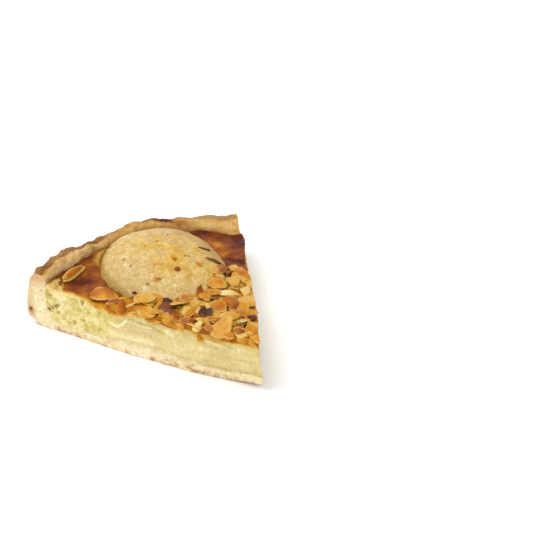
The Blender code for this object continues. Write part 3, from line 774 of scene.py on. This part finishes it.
def make_pear_half():
    obj, points, out = fine_copy("pear_half", "pear_half_baked", 0.5, 12)
    x, y, z = points.T
    grains = waves(points, 1.5, 84, 2)
    granules = blobs(points, *PEAR_GRANULES)
    move = 0.1 * waves(points, 7, 81) + 0.1 * grains + 0.2 * granules
    move -= 0.12 * (1 - ease(0.15, 0.5, cells(points, 2.6, 87)))
    points += out * (move * (1 - ease(14.5, 12.6, z)))[:, None]
    set_coords(obj, points)

    tone = 0.5 + 0.2 * waves(points, 3.4, 301, 2) + 0.2 * grains
    paint = shades(tone, (0.1, 200, 166, 100), (0.5, 219, 186, 122), (0.9, 240, 218, 160))
    warm = blobs(points, (2, 28, 17, 11, -20), (10, 19, 11, 11), (0, 13, 12, 10), (15, 4, 9, 9))
    golden = shades(tone, (0.1, 208, 154, 58), (0.5, 228, 183, 84), (0.9, 244, 212, 126))
    over(paint, 0.9 * warm * ease(-0.7, 0.3, waves(points, 4, 304)), golden)
    # Painted shade: duller on its left side
    over(paint, 0.45 * blob(points, -23, 20, 12, 12), (208, 182, 126))
    over(paint, 0.8 * blobs(points, (26, 20, 6, 14), (20, 34, 7, 8)), (196, 150, 84))
    # Pale granules: their own colour with painted glints
    over(paint, 0.8 * granules, (248, 236, 196))
    # Its foot is darker, most of all towards the crust: painted shade at its edge there and low on its left
    over(paint, 0.8 * ease(27.5, 24, z) * ease(30, 44, y) * ease(-12, -18, x), (186, 160, 80))
    over(paint, 0.35 * ease(27, 23.5, z), (204, 164, 92))
    over(paint, 0.5 * ease(27.5, 23.5, z) * ease(-12, -24, x), (190, 158, 92))
    over(paint, blobs(points, *((*dot, 0.65) for dot in PEAR_DOTS)), (96, 76, 30))
    over(paint, 0.7 * blobs(points, *PEAR_SMEARS), (214, 140, 48))

    look = Look("baked_pear", Roughness=0.42, Specular_IOR_Level=0.25)
    look.mottled(1.2, (0.88, 0.82, 0.68), 0.25)
    look.glow(0.35, 2.5, (1.0, 0.7, 0.35))
    look.relief(1.6, 0.2)
    look.relief(0.9, 0.15)
    finish_piece(obj, lit_from_above(paint), look, "pear_half", "pear_half")
    return obj


def make_pear_cut():
    obj, points, out = fine_copy("pear_cut", "pear_cut_baked", 0.45)
    front, _, cuts = both_cuts(points, out)
    points += 0.5 * sideways(out, front, FRONT)
    paint = np.tile(linear((226, 200, 140)), (len(points), 1))
    lay_cuts(points, paint, cuts[:1])
    push(points, 0.12 * front, FRONT)
    set_coords(obj, points)

    look = Look("cut_pear", Roughness=0.45, Specular_IOR_Level=0.4)
    look.mottled(1.4, (0.9, 0.84, 0.7), 0.15)
    look.glow(0.3, 2.0, (1.0, 0.7, 0.35))
    look.relief(0.9, 0.12)
    finish_piece(obj, paint, look, "pear_cut", "pear_cut")


# The almonds

# Dark gaps between the flakes, burnt sugar with painted shade in the holes: x, y, half width, half depth
# and turn in degrees
DARK_GAPS = (
    (-16.2, -7.5, 6, 2.6, -35), (-18.5, -12.5, 4, 4.5, -35), (-7.8, -29, 2, 3.4, -60),
    (1.6, -48, 5.5, 2, -30), (-37.5, 12.6, 2.6, 1.2, -40), (-27.6, 5.6, 2.4, 1.6, -35),
    (-16.5, -25.5, 2.6, 1.6, -60), (-3, -49.5, 2.6, 2, 0), (-40, 12, 5, 2.4, -40),
)


def make_bed_core():
    """The sticky layer that the flakes lie in."""
    obj, points, out = fine_copy("almond_bed", "almond_bed_core", 0.5)
    z = points[:, 2]
    top = filling_height(points)
    z -= 0.6 * np.maximum(z - top - 1.6, 0)
    z -= ease(1.1, 0.3, z - top)
    front, back = square_off(points, out, FRONT, 0.8), square_off(points, out, BACK, 0.8)
    move = 0.3 * ease(0.2, -0.5, out[:, 2]) + 0.5 * waves(points, 3.6, 101) * ease(0, 0.6, out[:, 2])
    points += out * (move * (1 - np.maximum(front, back)))[:, None]
    push(points, front * (0.4 + 0.9 * wave(points, 4, 102)), FRONT)
    z -= front * ease(1.6, 0.4, z - top) * (0.9 + 1.2 * wave(points * [1, 1, 0.2], 5, 103))
    set_coords(obj, points)

    tone = 0.55 + 0.22 * waves(points, 5, 104) + 0.12 * waves(points, 2, 107)
    paint = shades(tone, (0.1, 120, 58, 14), (0.35, 168, 92, 20), (0.6, 202, 130, 34), (0.9, 226, 170, 66))
    # Dark gaps: burnt sugar with painted shade in the holes between the flakes
    for gap in DARK_GAPS:
        over(paint, blob(points, *gap), (108, 50, 16))

    look = Look("sticky_almond", Roughness=0.4, Specular_IOR_Level=0.18, Specular_Tint=(1.0, 0.8, 0.5, 1))
    look.mottled(1.6, (0.75, 0.6, 0.4), 0.1)
    look.glow(0.2, 1.2, (1.0, 0.5, 0.2))
    look.relief(2.2, 0.3)
    finish_piece(obj, lit_from_above(paint, gloss=0.02), look, "almond_bed", "almond_bed")


RINGS = (0.35, 0.68, 0.9, 1.0)
SIDES = 28


def flake_mesh(length, width, chance, broken=0.0):
    """Points, faces and edge share of one thin slice of almond lying flat, its point towards +X."""
    turns = np.linspace(0, 2 * math.pi, SIDES, endpoint=False)
    x, y = np.cos(turns), np.sin(turns)
    y *= (1 - 0.22 * x) * (1 - 0.08 * x**2)
    wobble = 1 + 0.05 * np.sin(3 * turns + chance.uniform(0, 6))
    wobble += 0.04 * np.sin(5 * turns + chance.uniform(0, 6))
    outline = np.stack([x * wobble * length / 2, y * wobble * width / 2], 1)
    if broken:
        heading = chance.uniform(0, 2 * math.pi)
        normal = np.array([math.cos(heading), math.sin(heading)])
        over_edge = np.maximum(outline @ normal - (1 - broken) * length * 0.32, 0)
        jag = np.array([chance.uniform(-0.2, 0.2) for _ in turns]) * (over_edge > 0)
        outline -= (over_edge + jag)[:, None] * normal
    thick = chance.uniform(0.5, 0.7)
    points, edge = [], []
    for half, rings in ((thick / 2, RINGS), (-thick / 2, RINGS[:-1])):
        for ring in rings:
            points += [(*place, half * math.sqrt(1 - ring**6)) for place in outline * ring]
            edge += [ring] * SIDES
    middle = outline.mean(axis=0)
    points += [(*middle, thick / 2), (*middle, -thick / 2)]
    edge += [0, 0]
    loops = [[row * SIDES + i for i in range(SIDES)] for row in range(2 * len(RINGS) - 1)]
    top, low = loops[: len(RINGS)], loops[len(RINGS) :] + [loops[len(RINGS) - 1]]
    faces = []
    for sheet, hub, order in ((top, len(points) - 2, 1), (low, len(points) - 1, -1)):
        for i in range(SIDES):
            j = (i + 1) % SIDES
            faces += [(a[i], b[i], b[j], a[j])[::order] for a, b in zip(sheet, sheet[1:])]
            faces.append((hub, sheet[0][i], sheet[0][j])[::order])
    return np.array(points), faces, np.array(edge)


def unit(vector):
    return np.asarray(vector, float) / np.linalg.norm(vector)


VIEW_AHEAD = unit((-math.sin(AZIMUTH), math.cos(AZIMUTH), -math.tan(ELEVATION)))
VIEW_RIGHT = unit(np.cross(VIEW_AHEAD, (0, 0, 1)))
VIEW_UP = np.cross(VIEW_RIGHT, VIEW_AHEAD)
EYE = AIM - CAMERA_DISTANCE * VIEW_AHEAD
UP = np.array([0.0, 0.0, 1.0])
OUT_OF_FRONT = np.append(cut_axes(FRONT)[1], 0.0)

# Which way a flake faces
FLAT = UP
SLOPE = unit(0.28 * OUT_OF_FRONT + 0.96 * UP)
DROOP = unit(0.5 * OUT_OF_FRONT + 0.87 * UP)
STEEP = unit(0.8 * OUT_OF_FRONT + 0.6 * UP)
FACING = unit(0.15 * UP - VIEW_AHEAD)
THIN = unit(VIEW_UP - 0.12 * VIEW_AHEAD)
EDGE = unit(VIEW_UP - 0.22 * VIEW_AHEAD)
AWAY = unit(VIEW_UP - 0.42 * VIEW_AHEAD)
ON_RIM = unit((0.25, -0.72, 0.65))

# Parts of the photo in which the flakes were read off: the left and upper edge, and how many times the
# part was enlarged
LEFT = 84, 284, 22.4
MIDDLE = 140, 285, 22.4
RIGHT = 196, 262, 18.9
CORNER = 20, 240, 17.42
BED = 170, 205, 15.68

# The flakes that show, by the part of the photo. In the enlarged part: across and down to the middle, half
# length, half width, and turn in degrees. Then the height in mm, or at 0 and below how far in front of the
# front cut the flake hangs, and which way it faces. Then in per cent how toasted it is, from cream to dark
# brown, and how much of it is broken off. Last, where only its edge shows, its width in mm.
SEEN_FLAKES = (
    (LEFT,
        (440, 225, 350, 150, 4, 24.9, SLOPE, 54, 0), (820, 520, 175, 105, 100, -1.2, STEEP, 70, 0),
        (1035, 475, 165, 24, -24, 26.4, FACING, 10, 0), (1430, 445, 110, 16, 6, 26.2, THIN, 36, 0, 6)),
    (MIDDLE, (145, 262, 300, 112, -10, 27, AWAY, 24, 0)),
    (LEFT,
        (1130, 205, 60, 45, 0, 26.5, STEEP, 95, 50), (700, 395, 210, 62, -12, 25, SLOPE, 74, 20),
        (1230, 540, 230, 95, -6, 25.4, SLOPE, 40, 20), (1120, 660, 190, 90, 0, -0.4, DROOP, 20, 30)),
    (MIDDLE,
        (170, 605, 250, 150, 0, 26, SLOPE, 36, 20), (330, 760, 190, 100, 0, -0.4, DROOP, 34, 30),
        (590, 370, 210, 80, 4, 26.4, SLOPE, 110, 30), (620, 530, 220, 150, 20, 26.2, SLOPE, 80, 10),
        # The first of these, dark and seen edge on, is painted shade: the dark line under the pale flake
        # beside it
        (880, 445, 110, 28, -8, 26.6, THIN, 105, 0, 6), (950, 385, 260, 26, -6, 27, THIN, 30, 0, 7.5),
        (990, 575, 200, 150, 10, 26.2, DROOP, 36, 15), (1060, 820, 180, 120, 20, 25.8, DROOP, 66, 30),
        (900, 900, 150, 95, 70, -0.6, DROOP, 34, 30), (1285, 585, 125, 36, -62, 27, FACING, 8, 20),
        (1335, 745, 110, 20, 25, 26.2, EDGE, 26, 0, 5), (610, 760, 160, 120, 60, 0, DROOP, 54, 20),
        (440, 640, 90, 100, 70, 25.6, DROOP, 60, 40), (740, 880, 90, 70, 50, -0.6, STEEP, 34, 50),
        (1500, 640, 130, 160, 10, 25.9, SLOPE, 76, 20)),
    (RIGHT,
        (400, 400, 200, 105, 5, 27.6, SLOPE, 46, 0), (700, 345, 140, 100, 15, 27.8, FLAT, 38, 0),
        (745, 450, 110, 60, 15, 26.8, FLAT, 62, 20), (930, 520, 120, 95, 60, 26.6, FLAT, 4, 30),
        (1010, 420, 70, 90, 60, 26.2, FLAT, 20, 30), (850, 175, 150, 85, 0, 25.8, FLAT, 46, 10),
        (620, 590, 190, 55, 2, 27.6, SLOPE, 8, 0), (665, 770, 165, 125, 25, 28, SLOPE, 64, 0),
        (870, 850, 160, 120, 10, 27.5, SLOPE, 38, 0), (1040, 740, 90, 130, 60, 27, FLAT, 30, 20),
        (435, 835, 175, 130, 10, 28, SLOPE, 54, 0), (250, 880, 130, 42, 58, 27.4, FACING, 6, 10),
        (200, 960, 140, 120, 40, 26.6, SLOPE, 98, 20), (500, 1235, 270, 165, 133, 27.2, DROOP, 36, 0),
        (640, 1020, 210, 95, -6, 27.6, SLOPE, 34, 0), (360, 1090, 110, 80, 0, 27, SLOPE, 52, 20),
        (1060, 1015, 80, 22, 2, 27.6, THIN, 90, 0, 5), (930, 1085, 150, 18, -8, 27.5, THIN, 30, 0, 6),
        # The first of these, dark and seen edge on, is painted shade in the gap under a flake
        (930, 1120, 150, 26, -6, 26.6, THIN, 105, 0, 5), (880, 1180, 60, 26, -50, 26.6, FACING, 5, 20),
        (810, 1230, 110, 80, 20, 26.7, DROOP, 66, 20), (1045, 1255, 140, 85, 80, 26.4, FACING, 44, 0),
        (1120, 1420, 75, 42, 90, 25.6, FACING, 86, 0), (1010, 1440, 130, 85, 75, 25.6, STEEP, 28, 10),
        (760, 1360, 120, 90, 30, 25.9, DROOP, 64, 20), (800, 1335, 135, 90, -10, 27.2, DROOP, 82, 30),
        (640, 1440, 80, 70, 60, -0.6, STEEP, 50, 40), (860, 1470, 110, 60, 30, -0.5, STEEP, 36, 30),
        (70, 560, 140, 72, 95, 27.6, FACING, 62, 10), (185, 640, 130, 95, 20, 27.2, FLAT, 44, 20),
        (370, 580, 140, 70, 10, 27.2, FLAT, 40, 30), (340, 665, 90, 24, 10, 27.4, THIN, 85, 0, 5),
        (250, 1255, 110, 75, 30, 26.2, DROOP, 60, 20), (170, 1130, 100, 70, 20, 26.6, DROOP, 28, 30),
        (50, 1230, 125, 115, 0, 25.6, DROOP, 6, 50), (420, 1480, 170, 60, 10, -0.9, STEEP, 26, 40),
        (60, 1440, 110, 80, 40, -0.9, STEEP, 44, 40), (430, 250, 120, 55, 10, 27, FLAT, 34, 30),
        (380, 100, 110, 70, 10, 26.6, FLAT, 60, 30), (520, 150, 130, 60, -10, 26.2, FLAT, 68, 30),
        (690, 110, 110, 60, -5, 26.2, FLAT, 26, 20), (610, 185, 60, 40, 0, 26.6, FLAT, 70, 30),
        (900, 330, 70, 36, 10, 26.2, FLAT, 95, 20), (1060, 1330, 90, 60, 60, 25.4, STEEP, 50, 20),
        (930, 1490, 120, 60, 15, -0.7, STEEP, 44, 40), (1030, 1530, 100, 60, 30, -0.7, STEEP, 32, 40),
        (700, 1480, 120, 60, 10, -0.8, STEEP, 66, 40), (250, 1400, 130, 80, 20, -0.7, STEEP, 24, 40)),
    (CORNER, (930, 550, 214, 62, -34, 27.2, ON_RIM, 54, 0), (946, 588, 232, 68, -34, 25.6, ON_RIM, 12, 0)),
    (BED, (930, 1040, 70, 45, 20, 26, FLAT, 80, 30)),
)

# Slim flakes on the pear: x, y, turn in degrees, length, width and toast
PEAR_FLECKS = (
    (22, 17.6, -22, 7.2, 2.6, 0.92), (21.7, 8.5, -28, 9, 2.6, 0.86), (16.6, -0.9, -34, 4.6, 1.2, 0.95),
    (1.6, 14, -20, 4.6, 3, 0.66), (1.6, 30.8, -35, 2.8, 1.2, 0.55), (-0.7, 7.6, 20, 3.6, 3.2, 0.64),
    (-12.8, 7, -20, 4.4, 2.2, 0.6), (11.6, 6.4, -40, 4.6, 3.2, 0.56), (16.6, -3.4, -30, 9, 6, 0.42),
    (22.5, 2.6, 20, 9.5, 6.4, 0.46), (25.6, -0.6, 60, 10, 6.6, 0.36), (25, 6, 100, 8, 5.4, 0.6),
)


def on_plane(pixel, place, normal):
    """Where the line of sight through a pixel meets the plane through place."""
    across, down = (pixel - PHOTO_SIZE / 2) / FOCAL_LENGTH
    line = VIEW_AHEAD + VIEW_RIGHT * across - VIEW_UP * down
    return EYE + line * ((place - EYE) @ normal) / (line @ normal)


def before_cut(pixel, gap):
    """The place that shows at a pixel, gap mm in front of the front cut."""
    stands_out = 0.0
    for _ in range(6):
        place = on_plane(pixel, np.append(CUTS_MEET, 0.0) + (gap + stands_out) * OUT_OF_FRONT, OUT_OF_FRONT)
        stands_out = cut_bulge(on_cut(place[None], FRONT), FRONT)[0]
    return place


def flake_row(part, across, down, long, wide, turn, level, normal, toast, broken, width=None):
    """x, y and z, turn, tilt and lean in degrees, length and width, toast, and the share that is broken off,
    of a flake that shows in the photo, rounded to 0.1 mm and to degrees."""
    left, top, scale = part
    pixel = np.array([left + across / scale, top + down / scale])
    place = on_plane(pixel, level * UP, UP) if level > 0 else before_cut(pixel, -level)
    halves = []
    for half, way in ((long, math.radians(turn)), (wide, math.radians(turn + 90))):
        step = half / scale * np.array([math.cos(way), math.sin(way)])
        halves.append((on_plane(pixel + step, place, normal) - on_plane(pixel - step, place, normal)) / 2)
    axes, sizes, _ = np.linalg.svd(np.stack(halves, axis=1), full_matrices=False)
    along = axes[:, 0] * np.sign(axes[:, 0] @ VIEW_RIGHT)
    beside = axes[:, 1] * np.sign(np.cross(along, axes[:, 1]) @ normal)
    lean, tilt, heading = Matrix(np.stack([along, beside, np.cross(along, beside)], axis=1)).to_euler()
    angles = (round(math.degrees(angle)) for angle in (heading, tilt, lean))
    spans = (round(float(span), 1) for span in (2 * sizes[0], width or 2 * sizes[1]))
    return *(round(float(value), 1) for value in place), *angles, *spans, toast / 100, broken / 100


# Hidden flakes lie at least this far apart, and under a seen one only where it is this high
HIDDEN_SPACING = 4.0
HIGH_ENOUGH = 26.5
# How far the flakes may stand out of each cut
FLAKES_PAST_CUT = (FRONT, 2.6), (BACK, 0.3)


def bed_radius(angle):
    """How far from the tip the bed of almonds reaches in that direction, in degrees."""
    along_front = 17 * float(ease(-8, -25, angle)) if angle < 0 else 0
    return 56 + along_front + 8 * float(ease(2, 24, angle))


def hidden_flakes(seen, chance, tries=20000):
    """Rows for the flakes below and between the seen ones, as many as find room in so many tries."""
    rows = []

    def near(x, y, others, reach):
        return any(math.hypot(x - other[0], y - other[1]) < reach(other) for other in others)

    for _ in range(tries):
        angle = chance.uniform(-29, 29)
        radius = 90 * math.sqrt(chance.random())
        x, y = at(radius, angle)
        to_cut = radius * math.sin(HALF_ANGLE - math.radians(abs(angle)))
        if radius > bed_radius(angle) - 1 or to_cut < 1.4 or near(x, y, rows, lambda row: HIDDEN_SPACING):
            continue
        if near(x, y, [row for row in seen if row[2] < HIGH_ENOUGH], lambda row: 0.42 * row[6]):
            continue
        if near(x, y, DARK_GAPS, lambda gap: 0.8 * gap[2]):
            continue
        length = chance.uniform(9, 15)
        height = float(filling_height(np.array([[x, y, 0.0]]))[0]) + 2.2 + chance.uniform(0, 1.1)
        tilt, lean = chance.uniform(-16, 16), chance.uniform(-16, 16)
        toast, broken = chance.uniform(0.25, 0.62), chance.uniform(0, 0.5)
        turn, width = chance.uniform(0, 360), length * chance.uniform(0.6, 0.74)
        rows.append((x, y, height, turn, tilt, lean, length, width, toast, broken))
    return rows


def pear_flecks(pear):
    """Rows for the flecks, laid on the pear."""
    tree = BVHTree.FromObject(pear, bpy.context.evaluated_depsgraph_get())
    rows = []
    for x, y, turn, length, width, toast in PEAR_FLECKS:
        hit, normal, _, _ = tree.ray_cast(Vector((x * MM, y * MM, 0.06)), Vector((0, 0, -1)))
        slope = Vector((0, 0, 1)).rotation_difference(normal).to_matrix()
        lean, tilt, heading = (slope @ Matrix.Rotation(math.radians(turn), 3, "Z")).to_euler()
        angles = (math.degrees(angle) for angle in (heading, tilt, lean))
        rows.append((x, y, hit.z / MM + 0.15, *angles, length, width, toast, 0.0))
    return rows


def flake_piece(name, rows, look, chance, trim=True):
    """One mesh of many flakes, each with its own tone. Where the knife went through them they are trimmed."""
    all_points, all_faces, edges, toasts = [], [], [], []
    start = 0
    for x, y, z, turn, tilt, lean, length, width, toast, broken in rows:
        points, faces, edge = flake_mesh(length, width, chance, broken)
        bend_x, bend_y = chance.uniform(-0.3, 1.4), chance.uniform(-0.4, 0.6)
        along = points[:, 0] / (length / 2)
        points[:, 2] -= bend_x * along**2 + bend_y * (points[:, 1] / (width / 2)) ** 2
        points[:, 2] += 0.08 * waves(points + [x, y, 0], 3.0, 111, 2)
        turned = Euler([math.radians(angle) for angle in (lean, tilt, turn)]).to_matrix()
        all_points.append(points @ np.array(turned).T + [x, y, z])
        all_faces += [tuple(i + start for i in face) for face in faces]
        start += len(points)
        edges.append(edge)
        toasts.append(toast + chance.uniform(-0.12, 0.12) * along)
    points = np.vstack(all_points)
    toast = np.concatenate(toasts)
    if trim:
        for side, limit in FLAKES_PAST_CUT:
            gap = out_of_cut(points, side) - cut_bulge(on_cut(points, side), side)
            push(points, -0.92 * np.maximum(gap - limit, 0), side)
    mesh = bpy.data.meshes.new(name)
    mesh.from_pydata((points * MM).tolist(), [], all_faces)
    mesh.validate()
    mesh.shade_smooth()
    obj = bpy.data.objects.new(name, mesh)
    bpy.context.scene.collection.objects.link(obj)
    paint = shades(
        toast + 0.16 * waves(points, 5, 121, 3),
        (0.0, 250, 228, 162), (0.22, 240, 194, 96), (0.42, 224, 156, 48),
        (0.58, 202, 118, 20), (0.76, 156, 84, 16), (1.0, 80, 46, 8),
    )
    # Paler edges: the thin edge's own colour with painted highlight
    pale = ease(0.74, 1.0, np.concatenate(edges)) * ease(-0.5, 0.5, wave(points, 6, 124))
    over(paint, pale * (0.8 - 0.6 * ease(0.6, 0.9, toast)), (250, 212, 130))
    finish_piece(obj, lit_from_above(paint, 1.4, 0.015), look, "almond_bed")


def make_almonds(pear):
    look = Look("toasted_flakes", Roughness=0.35, Specular_IOR_Level=0.22, Specular_Tint=(1.0, 0.85, 0.6, 1))
    look.mottled(1.8, (0.88, 0.76, 0.52), 0.08)
    look.glow(0.45, 1.6, (1.0, 0.55, 0.2))
    look.set("Coat Weight", 0.03)
    look.set("Coat Roughness", 0.15)
    look.relief(1.2, 0.08, 4, 0.6)
    chance = random.Random(SEED)
    seen = [flake_row(part, *flake) for part, *flakes in SEEN_FLAKES for flake in flakes]
    hidden = hidden_flakes(seen, chance)
    flake_piece("almond_flakes", seen, look, chance)
    flake_piece("almond_flakes_below", hidden, look, chance)
    flake_piece("almond_flecks_on_pear", pear_flecks(pear), look, chance, trim=False)


# Ground, light and camera


def make_floor():
    bpy.ops.mesh.primitive_plane_add(size=6, location=(0, 0, -0.0002))
    floor = bpy.context.object
    floor.name = "white_ground"
    look = Look("white_ground", Roughness=0.6, Specular_IOR_Level=0.1, Base_Color=(0.93, 0.93, 0.93, 1))
    floor.data.materials.append(look.material)


def area_light(name, place, size, power):
    data = bpy.data.lights.new(name, "AREA")
    data.shape = "DISK"
    data.size = size
    data.energy = power
    lamp = bpy.data.objects.new(name, data)
    bpy.context.scene.collection.objects.link(lamp)
    lamp.location = place
    lamp.rotation_euler = (-Vector(place)).to_track_quat("-Z", "Y").to_euler()


def make_light():
    world = bpy.data.worlds.new("white_room")
    bpy.context.scene.world = world
    world.use_nodes = True
    background = world.node_tree.nodes["Background"]
    background.inputs["Color"].default_value = (1, 1, 1, 1)
    background.inputs["Strength"].default_value = 0.82
    area_light("softbox", (-0.35, 0.45, 1.1), 0.9, 9.0)
    area_light("fill", (-0.5, -0.9, 0.7), 0.6, 2.5)


def make_camera():
    """The view of the photo: from the front left, looking down."""
    data = bpy.data.cameras.new("camera")
    data.sensor_width = 36
    data.lens = FOCAL_LENGTH / PHOTO_SIZE * data.sensor_width
    camera = bpy.data.objects.new("camera", data)
    bpy.context.scene.collection.objects.link(camera)
    camera.location = Vector(EYE) * MM
    camera.rotation_euler = Vector(-VIEW_AHEAD).to_track_quat("Z", "Y").to_euler()
    bpy.context.scene.camera = camera


make_crust()
make_frangipane()
pear = make_pear_half()
make_pear_cut()
make_bed_core()
make_almonds(pear)
make_floor()
make_light()
make_camera()
bpy.context.scene.view_settings.view_transform = "Standard"
